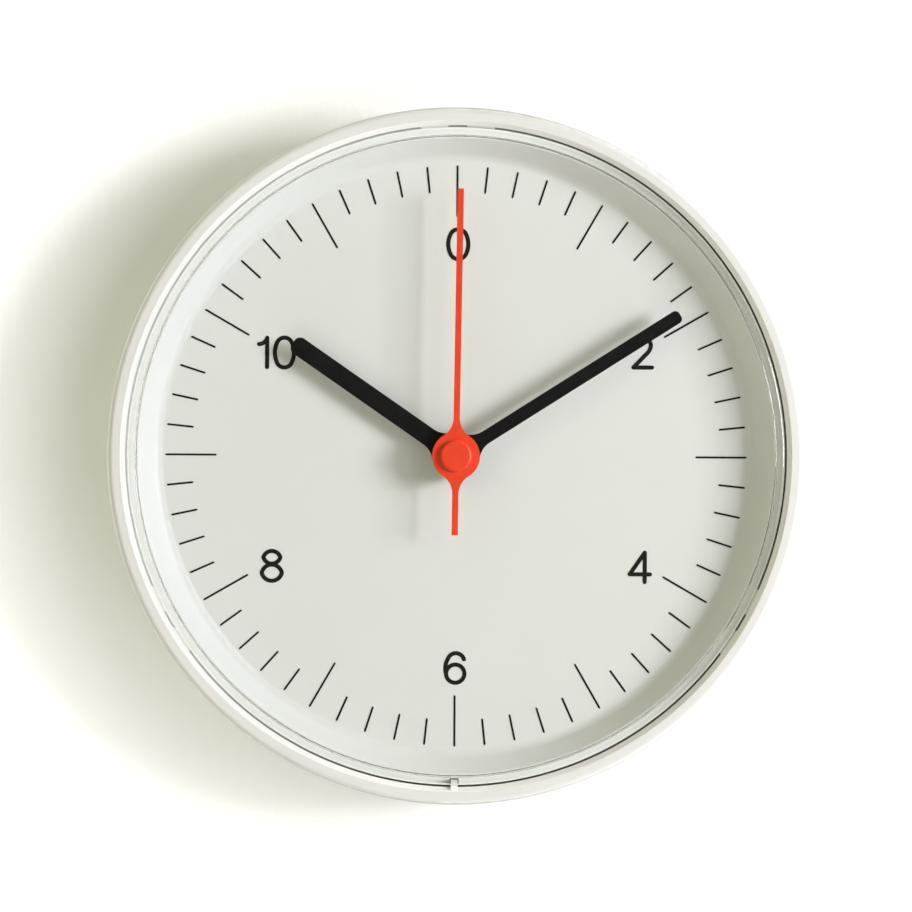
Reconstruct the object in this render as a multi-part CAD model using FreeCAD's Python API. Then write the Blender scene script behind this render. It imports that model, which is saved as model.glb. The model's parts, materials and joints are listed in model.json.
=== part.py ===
"""Round quartz wall clock, in millimetres.

The clock axis is Y and the front faces -Y. The origin is on that axis, in the plane of the wall.
Heights named "level" are distances in front of the wall. A "depth" is counted back from the front
of the movement. A "bearing" is an angle clockwise from the top of the dial, seen from the front.
"""

import FreeCAD
import Part

import math
import os

# Case
case_diameter = 265.0
case_wall = 2.5
case_draft = 1.5  # how much smaller the radius is at the wall than at the rim
case_band = 6.0  # straight stretch of the outside, behind the front of the rim
rim_width = 5.1  # flat front of the rim
rim_slope = 2.2  # sloped inner edge of the rim, measured along the radius
rim_slope_depth = 3.1
rim_thickness = 5.0
rim_round = 2.4
rim_inner_round = 0.5

# Lens, held down by pairs of ears under the rim and placed by the rim's key in a notch
lens_gap = 0.6  # between the lens and the rim
lens_wall = 2.8
lens_thickness = 2.2
lens_round = 1.2
lens_clearance = 1.6  # between the hub cap and the lens
ear_bearings = (0.0, 120.0, 240.0)
ear_offset = 4.05  # in degrees, from each of these to the middle of its two ears
ear_half_angle = 2.35
ear_reach = 2.1
ear_thickness = 1.2
ear_clearance = 0.3
key_width = 2.6
key_set_back = 0.6  # behind the front of the rim
key_clearance = 0.25
notch_depth = 2.2  # into the wall of the lens

# Dial dish
reflector_lip = 0.7  # flat edge of the dish between its slope and the lens wall
reflector_run = 6.9
reflector_height = 9.0
reflector_round = 4.5
reflector_lip_round = 0.3
dish_thickness = 2.0
dish_gap = 0.6  # between the flange and the case wall
rib_thickness = 1.4
rib_height = 4.0
rib_clearance = 4.7  # from the corners of the movement to the ring of ribs
rib_margin = 3.0  # from the ends of the ribs to the edge of the flat dial

# Screws
dish_screw_radius = 1.0
dish_screw_head = 1.8
dish_screw_head_height = 1.3
dish_screw_length = 5.0
dish_screw_play = 0.3
cross_reach = 0.62  # of the cross in a screw's head, as a share of the head's radius
cross_half_width = 0.13
cross_depth = 0.55  # as a share of the head's height
movement_screw_radius = 0.7
movement_screw_head = 1.35
movement_screw_head_height = 0.7
movement_screw_length = 3.9
movement_screw_play = 0.15
screw_tip_room = 0.5

# Printing on the dial
print_thickness = 0.1
mark_width = 0.76
mark_margin = 3.1  # from the edge of the flat dial to the outer ends of the marks
minute_mark_length = 10.2
hour_mark_length = 19.6
figure_inset = 33.2  # from the edge of the flat dial to the middle of the figures
figure_stroke = 1.6

# Hands
hour_bearing = 304.6
minute_bearing = 57.5
second_bearing = 0.7
hand_thickness = 0.6
hand_spacing = 3.0
first_hand_height = 4.8  # back of the hour hand above the dial
hub_radius = 9.1
neck_radius = 8.0
hour_width = 7.05
minute_width = 5.1
second_width = 2.4
hour_tip_round = 2.7
minute_tip_round = 1.9
second_tip_round = 0.25
hour_hand_gap = 15.8  # from its tip to the inner ends of the hour marks
minute_hand_gap = 0.1  # from its tip to the inner ends of the minute marks
second_hand_overlap = 0.7  # of its tip and the minute marks
tail_length = 30.1
second_boss_radius = 1.2
second_boss_height = 1.2
cap_radius = 6.05
cap_height = 1.8
cap_round = 1.1

# Battery and its contacts
battery_diameter = 14.5
battery_length = 50.5
battery_round = 0.6
battery_inset = 0.2  # how far the battery lies in from the back of the movement
terminal_length = 1.3
terminal_radius = 2.75
contact_thickness = 0.4
contact_spring = 2.3  # room for the bowed contact
leaf_thickness = 0.35
leaf_half_width = 3.5
leaf_half_height = 6.0
bay_clearance = 0.35
contact_depths = (3.0, 14.0)
contact_margin = 1.3  # from the ends of a contact to the walls of the bay
arm_depths = (11.0, 13.2)
arm_top = 20.0
arm_play = 0.25

# Housing of the movement
rear_gap = 5.0  # from the wall to the back of the movement
housing_wall = 1.2
train_drop = 10.4  # from the clock axis down to the end of the room for the train
train_rise = 26.8  # and up to its other end
train_depth = 15.0
lid_thickness = 1.25
lip_height = 0.8
lip_width = 1.0
lip_play = 0.1
corner_round = 3.0
finger_notch = 9.0  # half the width of the notch beside the battery
notch_lip = 0.5
clip_heights = (-5.6, 18.2)
clip_half_height = 2.5
clip_thickness = 0.8
clip_depth = 12.0
rubber_thickness = 0.8
rubber_radius = 13.0
bush_radius = 4.0
bush_height = 6.0
bush_clearance = 0.15
nut_height = 2.2
nut_across = 11.0  # across its flats
nut_washer_thickness = 0.5
nut_washer_radius = 7.6
nut_washer_play = 0.05

# Loop that hangs the clock on a hook, above the housing
loop_thickness = 2.4
loop_height = 11.0
loop_foot = 12.0  # half its width at the housing
loop_head = 8.0  # half its width at the top
loop_round = 2.5
loop_hole_half = 6.0
loop_hole_start = 2.5  # above the housing
loop_hole_shoulder = 5.0
loop_slot_half = 2.2
loop_slot_end = 8.3

# Knob at the back
knob_radius = 6.1
knob_thickness = 3.2
knob_gap = 0.6  # between the knob and the housing
knob_flutes = 30
knob_flute_depth = 0.35
knob_edge = 1.6
knob_dish_depth = 0.6

# Gear train: teeth of each wheel and of the pinion that drives it
rotor_teeth = 10
intermediate_teeth = 50
intermediate_pinion_teeth = 10
second_teeth = 60
second_pinion_teeth = 10
third_teeth = 75
third_pinion_teeth = 10
centre_teeth = 80
cannon_teeth = 12
motion_teeth = 36
motion_pinion_teeth = 10
hour_teeth = 40
setting_teeth = 12
pressure_angle = math.radians(25.0)
addendum = 0.8  # in modules
dedendum = 1.05
backlash = 0.06

# Distances between the arbors
centre_distance = 9.0
second_distance = 8.75
rotor_distance = 7.5
motion_distance = 7.5

# Layers of the movement: the depth of the front and of the back of each
hour_layer = (1.8, 3.0)
motion_pinion_layer = (1.6, 3.8)
cannon_layer = (3.4, 5.2)
motion_layer = (3.8, 5.0)
middle_plate_layer = (5.35, 5.95)
third_pinion_layer = (6.1, 7.4)
centre_layer = (6.2, 7.0)
second_pinion_layer = (7.9, 9.4)
third_layer = (8.2, 9.0)
magnet_layer = (8.7, 10.5)
stator_layer = (9.2, 10.0)
intermediate_pinion_layer = (9.7, 11.2)
second_layer = (10.0, 10.8)
rotor_pinion_layer = (11.7, 13.1)
intermediate_layer = (12.0, 12.8)
board_layer = (12.4, 13.2)
bridge_layer = (13.4, 14.2)
coil_depth = 8.8
rotor_boss_depth = 7.6
pivot_start_depth = 4.2
end_play = 0.2
boss_gap = 0.15  # between the bosses for the pivots and the middle plate
front_pivot_recess = 0.5  # how far the two front pivots of the motion work go into the face
front_pivot_gap = 0.1
shoulder = 0.3  # of a shaft in front of its pinion or magnet
rotor_pivot_length = 0.6
pipe_overhang = 0.4  # of the minute pipe behind the centre wheel
motion_arbor_gap = 0.1  # from the back of the middle plate

# Shafts, each in the one around it
second_arbor_radius = 0.5
minute_pipe_radius = 1.42
hour_pipe_radius = 2.5
arbor_radius = 0.5
pivot_radius = 0.35
rotor_shaft_radius = 0.6
setting_radius = 1.0
pivot_clearance = 0.05
pipe_clearance = 0.075
second_clearance = 0.1
shaft_room = 0.1  # round a shaft that passes through a plate and doesn't run in it
setting_play = 0.3  # round the setting shaft where it leaves the lid
second_hub_radius = 1.4
boss_radius = 1.2
centre_window_radius = 1.5
centre_window_distance = 4.6

# Plates and the posts that carry them
post_radius = 1.5
post_foot_radius = 1.9
post_play = 0.05
bridge_posts = [(-17.5, 8.0), (12.5, -6.3), (12.8, 14.0)]
plate_edges = (-19.4, 14.7, -8.2, 16.6)
plate_round = 1.5
board_post_inset = 5.3
board_post_height = 22.0
board_bottom = 17.5
board_margin = 0.5

# Coil, stator and what is on the board
magnet_radius = 2.8
stator_air_gap = 0.4
stator_bottom = 13.2
stator_top = 18.8
stator_around = 4.2
stator_legs = (3.0, 2.9)
stator_leg_margin = 0.3  # of the legs above the core
core_width = 2.0
core_thickness = 0.8
core_offset = 3.5  # from the left post of the board
core_end_gap = 2.8  # from its right end to the right post of the bridge
core_play = 0.05
coil_height = 22.7
coil_offset = 3.5  # from the left end of the core
coil_end_offset = 3.4  # and from its right end
coil_radius = 2.8
bobbin_radius = 1.7
bobbin_flange = 0.8
bobbin_flange_radius = 3.2
chip_place = (-2.0, 22.2)
chip_radius = 3.0
chip_height = 1.0
chip_round = 0.6
crystal_place = (6.5, 19.8)
crystal_radius = 0.75
crystal_length = 6.0
crystal_gap = 0.02

# Derived radii
case_radius = case_diameter / 2
wall_inner_front = case_radius - case_wall
wall_inner_back = wall_inner_front - case_draft
rim_inner = case_radius - rim_width - rim_slope
lens_radius = rim_inner - lens_gap
lens_bore = lens_radius - lens_wall
reflector_radius = lens_bore - reflector_lip
dial_radius = reflector_radius - reflector_run
marks_radius = dial_radius - mark_margin
figure_radius = dial_radius - figure_inset
screw_circle = (wall_inner_front + rim_inner) / 2

# Derived outline of the housing
inner_half = (battery_length + contact_spring) / 2 + contact_thickness
outer_half = inner_half + housing_wall
bay_top = -train_drop - housing_wall
bay_bottom = bay_top - battery_diameter - 2 * bay_clearance
housing_bottom = bay_bottom - housing_wall
housing_top = train_rise + housing_wall
bay_depth = housing_wall + bay_clearance + battery_diameter + battery_inset
movement_depth = max(train_depth + lid_thickness, bay_depth)

# Derived levels
movement_front = rear_gap + movement_depth
lid_level = rear_gap + lid_thickness
dial_back = movement_front + rubber_thickness
dial_level = dial_back + dish_thickness
flange_level = dial_level + reflector_height
rim_level = flange_level + rim_thickness
key_level = rim_level - key_set_back
hour_level = dial_level + first_hand_height
minute_level = hour_level + hand_spacing
second_level = minute_level + hand_spacing
cap_level = second_level + hand_thickness
lens_inner = cap_level + cap_height + lens_clearance
lens_level = lens_inner + lens_thickness
battery_level = movement_front - housing_wall - bay_clearance - battery_diameter / 2
battery_height = bay_top - bay_clearance - battery_diameter / 2
knob_level = rear_gap - knob_gap - knob_thickness

# Derived bores of the shafts
minute_bore = second_arbor_radius + second_clearance
hour_bore = minute_pipe_radius + pipe_clearance
bush_bore = hour_pipe_radius + pipe_clearance
pivot_bore = pivot_radius + pivot_clearance

FORWARD = FreeCAD.Vector(0, -1, 0)
AXIS = FreeCAD.Vector(0, 1, 0)
ORIGIN = FreeCAD.Vector(0, 0, 0)


def point(x, level, z):
    """A point at this distance in front of the wall."""
    return FreeCAD.Vector(x, -level, z)


def away(start, distance, degrees):
    """The position at this distance and angle, counted from +X towards +Z."""
    angle = math.radians(degrees)
    return (start[0] + distance * math.cos(angle), start[1] + distance * math.sin(angle))


# Where the arbors and posts stand, right of the clock axis and above it
AXLE = (0.0, 0.0)
THIRD = away(AXLE, centre_distance, 20.0)
INTERMEDIATE = away(AXLE, second_distance, 110.0)
ROTOR = away(INTERMEDIATE, rotor_distance, 115.0)
MOTION = away(AXLE, motion_distance, 180.0)
SETTING = away(MOTION, motion_distance, 200.0)
board_posts = [(side * (inner_half - board_post_inset), board_post_height) for side in (-1, 1)]
core_start = board_posts[0][0] + core_offset
core_end = max(x for x, z in bridge_posts) - post_radius - core_end_gap
coil_start = core_start + coil_offset
coil_length = core_end - coil_end_offset - coil_start


def inside(depth):
    """The level at this depth."""
    return movement_front - depth


def disc(radius, back, front, where=AXLE):
    return Part.makeCylinder(radius, front - back, point(where[0], back, where[1]), FORWARD)


def tube(outer, inner, back, front, where=AXLE):
    return disc(outer, back, front, where).cut(disc(inner, back - 1.0, front + 1.0, where))


def block(x0, x1, z0, z1, back, front):
    return Part.makeBox(x1 - x0, front - back, z1 - z0, point(x0, front, z0))


def prism(outline, back, front):
    """A flat-sided solid over an outline of (x, z) corners."""
    corners = [point(x, back, z) for x, z in outline]
    face = Part.Face(Part.makePolygon(corners + corners[:1]))
    return face.extrude(FORWARD * (front - back))


def extruded(edges, back, front):
    """A solid over a closed chain of edges drawn at the level of its back."""
    return Part.Face(Part.Wire(edges)).extrude(FORWARD * (front - back))


def spun(profile):
    """A solid turned about the clock axis from (radius, level) corners."""
    corners = [point(r, level, 0) for r, level in profile]
    face = Part.Face(Part.makePolygon(corners + corners[:1]))
    return face.revolve(ORIGIN, AXIS, 360)


def rounded_rings(solid, rings):
    """Rounds circular edges about the clock axis, each given as (radius, level, round)."""
    for radius, level, size in rings:
        edges = []
        for edge in solid.Edges:
            curve = edge.Curve
            if not isinstance(curve, Part.Circle):
                continue
            if abs(curve.Radius - radius) < 0.01 and abs(curve.Center.y + level) < 0.01:
                edges.append(edge)
        solid = solid.makeFillet(size, edges)
    return solid


def rounded_posts(solid, size, where):
    """Rounds the edges along the clock axis that pass through the given positions."""
    edges = []
    for edge in solid.Edges:
        a = edge.Vertexes[0].Point
        b = edge.Vertexes[-1].Point
        if abs(a.x - b.x) > 0.001 or abs(a.z - b.z) > 0.001 or abs(a.y - b.y) < 0.001:
            continue
        if any(abs(a.x - x) < 0.01 and abs(a.z - z) < 0.01 for x, z in where):
            edges.append(edge)
    return solid.makeFillet(size, edges)


def turned(solid, bearing):
    copy = solid.copy()
    copy.rotate(ORIGIN, AXIS, bearing)
    return copy


def all_of(solids):
    """One solid from overlapping or touching solids."""
    whole = solids[0]
    for solid in solids[1:]:
        whole = whole.fuse(solid)
    return whole.removeSplitter()


def without(solid, cutters):
    for cutter in cutters:
        solid = solid.cut(cutter)
    return solid


def sector(inner, outer, half_angle, back, front):
    """A piece of ring centred on the top of the dial."""
    angle = math.radians(half_angle)
    ring = []
    for radius in (inner, outer):
        x = radius * math.sin(angle)
        z = radius * math.cos(angle)
        ring.append((point(-x, back, z), point(0, back, radius), point(x, back, z)))
    near, far = ring
    edges = [
        Part.Arc(*near).toShape(),
        Part.makeLine(near[2], far[2]),
        Part.Arc(far[2], far[1], far[0]).toShape(),
        Part.makeLine(far[0], near[0]),
    ]
    return extruded(edges, back, front)


# Case, lens and dial


def turned_place(radius, bearing):
    angle = math.radians(bearing)
    return (radius * math.sin(angle), radius * math.cos(angle))


screw_bearings = range(30, 390, 60)
screw_places = [turned_place(screw_circle, bearing) for bearing in screw_bearings]


def ears(play, back):
    """The ears of the lens, or with some play the pockets for them under the rim."""
    reach = lens_radius + ear_reach + play
    half_angle = ear_half_angle + math.degrees(play / reach)
    front = flange_level + ear_thickness + play
    ear = sector(lens_radius - 1.0, reach, half_angle, back, front)
    places = [bearing + side * ear_offset for bearing in ear_bearings for side in (-1, 1)]
    return [turned(ear, place) for place in places]


def case_shell():
    body = spun(
        [
            (case_radius - case_draft, 0),
            (case_radius, rim_level - case_band),
            (case_radius, rim_level),
            (case_radius - rim_width, rim_level),
            (rim_inner, rim_level - rim_slope_depth),
            (rim_inner, flange_level),
            (wall_inner_front, flange_level),
            (wall_inner_back, 0),
        ]
    )
    outer = (case_radius, rim_level, rim_round)
    inner = (case_radius - rim_width, rim_level, rim_inner_round)
    body = rounded_rings(body, [outer, inner])
    end = notch_depth - key_clearance - lens_radius
    key = block(-key_width / 2, key_width / 2, -rim_inner - rim_slope, end, flange_level, key_level)
    cutters = ears(ear_clearance, flange_level - 1.0)
    depth = dish_screw_length - dish_thickness + screw_tip_room
    for where in screw_places:
        cutters.append(disc(dish_screw_radius, flange_level - 1.0, flange_level + depth, where))
    return without(all_of([body, key]), cutters)


def dial_dish():
    """The dial with its sloped wall, its flange under the rim and ribs behind."""
    slope = math.hypot(reflector_run, reflector_height)
    out = dish_thickness * reflector_height / slope
    back = dish_thickness * reflector_run / slope
    shift = out - (dish_thickness - back) * reflector_run / reflector_height
    flange = wall_inner_front - dish_gap
    bore = bush_radius + bush_clearance
    body = spun(
        [
            (bore, dial_back),
            (bore, dial_level),
            (dial_radius, dial_level),
            (reflector_radius, flange_level),
            (flange, flange_level),
            (flange, flange_level - dish_thickness),
            (reflector_radius + shift, flange_level - dish_thickness),
            (dial_radius + shift, dial_back),
        ]
    )
    foot = (dial_radius, dial_level, reflector_round)
    lip = (reflector_radius, flange_level, reflector_lip_round)
    body = rounded_rings(body, [foot, lip])
    ring = math.hypot(outer_half, max(housing_top, -housing_bottom)) + rib_clearance
    rib_back = dial_back - rib_height
    ribs = [tube(ring + rib_thickness, ring, rib_back, dial_back)]
    half = rib_thickness / 2
    spoke = block(-half, half, ring + half, dial_radius - rib_margin, rib_back, dial_back)
    ribs += [turned(spoke, bearing) for bearing in screw_bearings]
    under = flange_level - dish_thickness
    hole = dish_screw_radius + dish_screw_play
    cutters = [disc(hole, under - 1.0, flange_level + 1.0, where) for where in screw_places]
    return without(all_of([body] + ribs), cutters)


def lens():
    body = spun(
        [
            (0, lens_inner),
            (lens_bore, lens_inner),
            (lens_bore, flange_level),
            (lens_radius, flange_level),
            (lens_radius, lens_level),
            (0, lens_level),
        ]
    )
    body = rounded_rings(body, [(lens_radius, lens_level, lens_round), (lens_bore, lens_inner, lens_round)])
    half = key_width / 2 + key_clearance
    end = notch_depth - lens_radius
    front = key_level + key_clearance
    notch = block(-half, half, -lens_radius - 1.0, end, flange_level - 1.0, front)
    return all_of([body] + ears(0.0, flange_level)).cut(notch)


def cross_screw(shaft, head, length, thickness, seat, where):
    """A screw driven forwards from its seat, with a cross in its head."""
    rear = seat - thickness
    body = all_of([disc(shaft, seat, seat + length, where), disc(head, rear, seat, where)])
    wide = head * cross_reach
    slim = head * cross_half_width
    deep = rear + thickness * cross_depth
    x, z = where
    cross = [
        block(x - wide, x + wide, z - slim, z + slim, rear - 1.0, deep),
        block(x - slim, x + slim, z - wide, z + wide, rear - 1.0, deep),
    ]
    return without(body, cross)


def dish_screws():
    seat = flange_level - dish_thickness
    size = (dish_screw_radius, dish_screw_head, dish_screw_length, dish_screw_head_height)
    return Part.makeCompound([cross_screw(*size, seat, where) for where in screw_places])


# Printing


def mark(length, bearing):
    """A line with round ends that reaches inwards from the circle of the marks."""
    half = mark_width / 2
    outer = [(-half, marks_radius - half), (0, marks_radius), (half, marks_radius - half)]
    inner = [(-x, 2 * marks_radius - length - z) for x, z in outer]
    ends = [[point(x, dial_level, z) for x, z in path] for path in (outer, inner)]
    edges = [
        Part.Arc(*ends[0]).toShape(),
        Part.makeLine(ends[0][2], ends[1][0]),
        Part.Arc(*ends[1]).toShape(),
        Part.makeLine(ends[1][2], ends[0][0]),
    ]
    return turned(extruded(edges, dial_level, dial_level + print_thickness), bearing)


def hour_marks():
    return Part.makeCompound([mark(hour_mark_length, 6 * n) for n in range(0, 60, 5)])


def minute_marks():
    return Part.makeCompound([mark(minute_mark_length, 6 * n) for n in range(60) if n % 5])


def straight_stroke(a, b, back, front):
    half = figure_stroke / 2
    length = math.hypot(b[0] - a[0], b[1] - a[1])
    side = (-(b[1] - a[1]) / length * half, (b[0] - a[0]) / length * half)
    outline = [
        (a[0] + side[0], a[1] + side[1]),
        (b[0] + side[0], b[1] + side[1]),
        (b[0] - side[0], b[1] - side[1]),
        (a[0] - side[0], a[1] - side[1]),
    ]
    return prism(outline, back, front)


def curved_stroke(a, through, b, back, front):
    ends = [point(x, back, z) for x, z in (a, through, b)]
    circle = Part.Arc(*ends).toShape().Curve
    rims = []
    for radius in (circle.Radius + figure_stroke / 2, circle.Radius - figure_stroke / 2):
        rims.append([circle.Center + (end - circle.Center) * (radius / circle.Radius) for end in ends])
    outer, inner = rims
    edges = [
        Part.Arc(*outer).toShape(),
        Part.makeLine(outer[2], inner[2]),
        Part.Arc(inner[2], inner[1], inner[0]).toShape(),
        Part.makeLine(inner[0], outer[0]),
    ]
    return extruded(edges, back, front)


def stroke(ends, back, front):
    """A line of even width with round ends: straight for two positions, an arc for three."""
    draw = straight_stroke if len(ends) == 2 else curved_stroke
    body = draw(*ends, back, front)
    caps = [disc(figure_stroke / 2, back, front, end) for end in (ends[0], ends[-1])]
    return all_of([body] + caps)


def oval(wide, high, end_radius, back, front):
    """An upright oval of four arcs: wide and high are its outer half sizes."""
    rise = high - end_radius
    side_radius = (wide**2 + rise**2 - end_radius**2) / (2 * (wide - end_radius))
    centre = wide - side_radius
    lean = math.atan2(rise, -centre)
    x = centre + side_radius * math.cos(lean)
    z = side_radius * math.sin(lean)
    path = [
        ((x, z), (0, high), (-x, z)),
        ((-x, z), (-wide, 0), (-x, -z)),
        ((-x, -z), (0, -high), (x, -z)),
        ((x, -z), (wide, 0), (x, z)),
    ]
    edges = [Part.Arc(*[point(px, back, pz) for px, pz in arc]).toShape() for arc in path]
    return extruded(edges, back, front)


def oval_ring(wide, high, end_radius, centre, back, front):
    w = figure_stroke
    hole = oval(wide - w, high - w, end_radius - w, back - 1.0, front + 1.0)
    ring = oval(wide, high, end_radius, back, front).cut(hole)
    ring.translate(FreeCAD.Vector(centre[0], 0, centre[1]))
    return ring


def figure(name, back, front):
    """The solids of one figure about its own centre."""
    if name == "0":
        return [oval_ring(4.65, 6.5, 4.05, (0, 0), back, front)]
    if name == "10":
        lines = [((-3.6, 5.6), (-3.6, -5.6)), ((-3.6, 5.5), (-4.7, 3.9), (-6.7, 3.2))]
        one = all_of([stroke(ends, back, front) for ends in lines])
        return [one, oval_ring(4.45, 6.5, 3.85, (3.0, 0), back, front)]
    if name == "2":
        lines = [
            ((-3.3, 2.9), (0.0, 5.7), (3.15, 2.6)),
            ((3.15, 2.6), (2.6, 0.9), (1.3, -0.7)),
            ((1.3, -0.7), (-3.5, -5.7)),
            ((-3.5, -5.7), (3.6, -5.7)),
        ]
    elif name == "4":
        lines = [
            ((1.85, 5.6), (1.85, -5.6)),
            ((1.85, 5.6), (-3.9, -2.7)),
            ((-3.9, -2.7), (3.85, -2.7)),
        ]
    elif name == "6":
        lines = [
            ((3.35, 3.3), (0.35, 5.6), (-2.75, 3.5)),
            ((-2.75, 3.5), (-3.7, 0.6), (-3.45, -2.3)),
            ((-3.45, -2.3), (0.05, 1.25), (3.55, -2.3)),
            ((-3.45, -2.3), (0.05, -5.7), (3.55, -2.3)),
        ]
    else:
        lines = [
            ((-3.25, 3.3), (0, 5.7), (3.25, 3.3)),
            ((-3.25, 3.3), (0, 0.85), (3.25, 3.3)),
            ((-3.85, -2.65), (0, 0.5), (3.85, -2.65)),
            ((-3.85, -2.65), (0, -5.7), (3.85, -2.65)),
        ]
    return [all_of([stroke(ends, back, front) for ends in lines])]


def numerals():
    """The even hours, upright. Each has a nudge in radius that evens out its look."""
    nudges = {
        "0": (0.0, 0.3),
        "2": (0.6, 0.7),
        "4": (1.2, 0.85),
        "6": (0.0, -0.1),
        "8": (1.0, -1.15),
        "10": (-1.8, -0.35),
    }
    solids = []
    for name, (outwards, sideways) in nudges.items():
        x, z = turned_place(figure_radius + outwards, 30.0 * int(name) + sideways)
        for solid in figure(name, dial_level, dial_level + print_thickness):
            solid.translate(FreeCAD.Vector(x, 0, z))
            solids.append(solid)
    return Part.makeCompound(solids)


# Hands


def neck(width, back, front):
    """The web that flares from the hub into a blade along +Z."""
    side = width / 2 + neck_radius
    start = math.sqrt((hub_radius + neck_radius) ** 2 - side**2)
    span = hub_radius + neck_radius
    touch = (side * hub_radius / span, start * hub_radius / span)
    lean_x = -1.0 - side / span
    lean_z = -start / span
    size = math.hypot(lean_x, lean_z)
    middle = (side + neck_radius * lean_x / size, start + neck_radius * lean_z / size)
    right = [touch, middle, (width / 2, start)]
    left = [(-x, z) for x, z in right]
    edges = [
        Part.makeLine(point(0, back, 0), point(touch[0], back, touch[1])),
        Part.Arc(*[point(x, back, z) for x, z in right]).toShape(),
        Part.makeLine(point(width / 2, back, start), point(-width / 2, back, start)),
        Part.Arc(*[point(x, back, z) for x, z in reversed(left)]).toShape(),
        Part.makeLine(point(-touch[0], back, touch[1]), point(0, back, 0)),
    ]
    return extruded(edges, back, front)


def blade(width, reach, tip_round, back, front):
    bar = block(-width / 2, width / 2, hub_radius / 2, reach, back, front)
    bar = rounded_posts(bar, tip_round, [(-width / 2, reach), (width / 2, reach)])
    return all_of([bar, neck(width, back, front)])


def hand(width, reach, tip_round, level, bore, bearing):
    front = level + hand_thickness
    body = all_of([disc(hub_radius, level, front), blade(width, reach, tip_round, level, front)])
    return turned(body.cut(disc(bore, level - 1.0, front + 1.0)), bearing)


def hour_hand():
    reach = marks_radius - hour_mark_length - hour_hand_gap
    return hand(hour_width, reach, hour_tip_round, hour_level, hour_pipe_radius, hour_bearing)


def minute_hand():
    reach = marks_radius - minute_mark_length - minute_hand_gap
    return hand(minute_width, reach, minute_tip_round, minute_level, minute_pipe_radius, minute_bearing)


def second_hand():
    """The red hand, with a tail and a boss that grips the seconds arbor."""
    front = second_level + hand_thickness
    reach = marks_radius - minute_mark_length + second_hand_overlap
    pieces = [
        disc(hub_radius, second_level, front),
        blade(second_width, reach, second_tip_round, second_level, front),
        turned(blade(second_width, tail_length, second_tip_round, second_level, front), 180.0),
        disc(second_boss_radius, second_level - second_boss_height, second_level),
    ]
    body = all_of(pieces)
    return turned(body.cut(disc(second_arbor_radius, minute_level, front + 1.0)), second_bearing)


def hub_cap():
    front = cap_level + cap_height
    return rounded_rings(disc(cap_radius, cap_level, front), [(cap_radius, front, cap_round)])


# Gears


def involute(angle):
    return math.tan(angle) - angle


def tooth_half_angle(radius, teeth, module):
    pitch = module * teeth / 2
    base = pitch * math.cos(pressure_angle)
    spread = involute(math.acos(min(1.0, base / radius)))
    thickness = math.pi * module / 2 - backlash
    return thickness / (2 * pitch) + involute(pressure_angle) - spread


def gear(teeth, module, phase, where, back, front):
    """A gear with one tooth centred on the phase, counted from +X towards +Z."""
    pitch = module * teeth / 2
    root = pitch - dedendum * module
    base = pitch * math.cos(pressure_angle)
    radii = [root] + ([base] if base > root else []) + [pitch, pitch + addendum * module]
    flank = [(radius, tooth_half_angle(radius, teeth, module)) for radius in radii]
    outline = []
    for tooth in range(teeth):
        middle = phase + 2 * math.pi * tooth / teeth
        sides = [(r, middle - a) for r, a in flank] + [(r, middle + a) for r, a in reversed(flank)]
        outline += [(where[0] + r * math.cos(a), where[1] + r * math.sin(a)) for r, a in sides]
    return prism(outline, back, front)


def mesh_phase(phase, teeth, where, mate_teeth, mate_where):
    """The phase that puts a mate's teeth in the gaps of a gear."""
    line = math.atan2(mate_where[1] - where[1], mate_where[0] - where[0])
    offset = (line - phase) * teeth / (2 * math.pi)
    return line + math.pi - (0.5 - offset) * 2 * math.pi / mate_teeth


def module_for(distance, teeth, mate_teeth):
    return 2 * distance / (teeth + mate_teeth)


rotor_module = module_for(rotor_distance, rotor_teeth, intermediate_teeth)
intermediate_module = module_for(second_distance, intermediate_pinion_teeth, second_teeth)
second_module = module_for(centre_distance, second_pinion_teeth, third_teeth)
third_module = module_for(centre_distance, third_pinion_teeth, centre_teeth)
cannon_module = module_for(motion_distance, cannon_teeth, motion_teeth)
hour_module = module_for(motion_distance, motion_pinion_teeth, hour_teeth)

motion_phase = mesh_phase(0.0, cannon_teeth, AXLE, motion_teeth, MOTION)
third_phase = mesh_phase(0.0, second_pinion_teeth, AXLE, third_teeth, THIRD)
third_pinion_phase = mesh_phase(0.0, centre_teeth, AXLE, third_pinion_teeth, THIRD)
intermediate_pinion_phase = mesh_phase(0.0, second_teeth, AXLE, intermediate_pinion_teeth, INTERMEDIATE)
rotor_phase = mesh_phase(0.0, intermediate_teeth, INTERMEDIATE, rotor_teeth, ROTOR)
hour_phase = mesh_phase(0.0, motion_pinion_teeth, MOTION, hour_teeth, AXLE)
setting_phase = mesh_phase(motion_phase, motion_teeth, MOTION, setting_teeth, SETTING)

# Where the arbors end: at the back in the bridge, and at the front in the housing's face
shoulder_end = bridge_layer[0] - end_play
pivot_end = bridge_layer[1] - end_play
motion_pivot_depth = housing_wall - front_pivot_recess


def geared(layer, teeth, module, phase, where=AXLE):
    """A gear that fills a layer of the movement."""
    return gear(teeth, module, phase, where, inside(layer[1]), inside(layer[0]))


def bar(radius, front_depth, back_depth, where=AXLE):
    """A round bar between two depths."""
    return disc(radius, inside(back_depth), inside(front_depth), where)


def hour_wheel():
    wheel = geared(hour_layer, hour_teeth, hour_module, hour_phase)
    pipe = disc(hour_pipe_radius, inside(hour_layer[1]), hour_level + hand_thickness)
    return all_of([wheel, pipe]).cut(disc(hour_bore, inside(hour_layer[1]) - 1.0, minute_level))


def minute_arbor():
    """The long pipe that carries the minute hand, with the cannon pinion."""
    pinion = geared(cannon_layer, cannon_teeth, cannon_module, 0.0)
    back = inside(centre_layer[1]) - pipe_overhang
    pipe = disc(minute_pipe_radius, back, minute_level + hand_thickness)
    return all_of([pinion, pipe]).cut(disc(minute_bore, back - 1.0, second_level))


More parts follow.
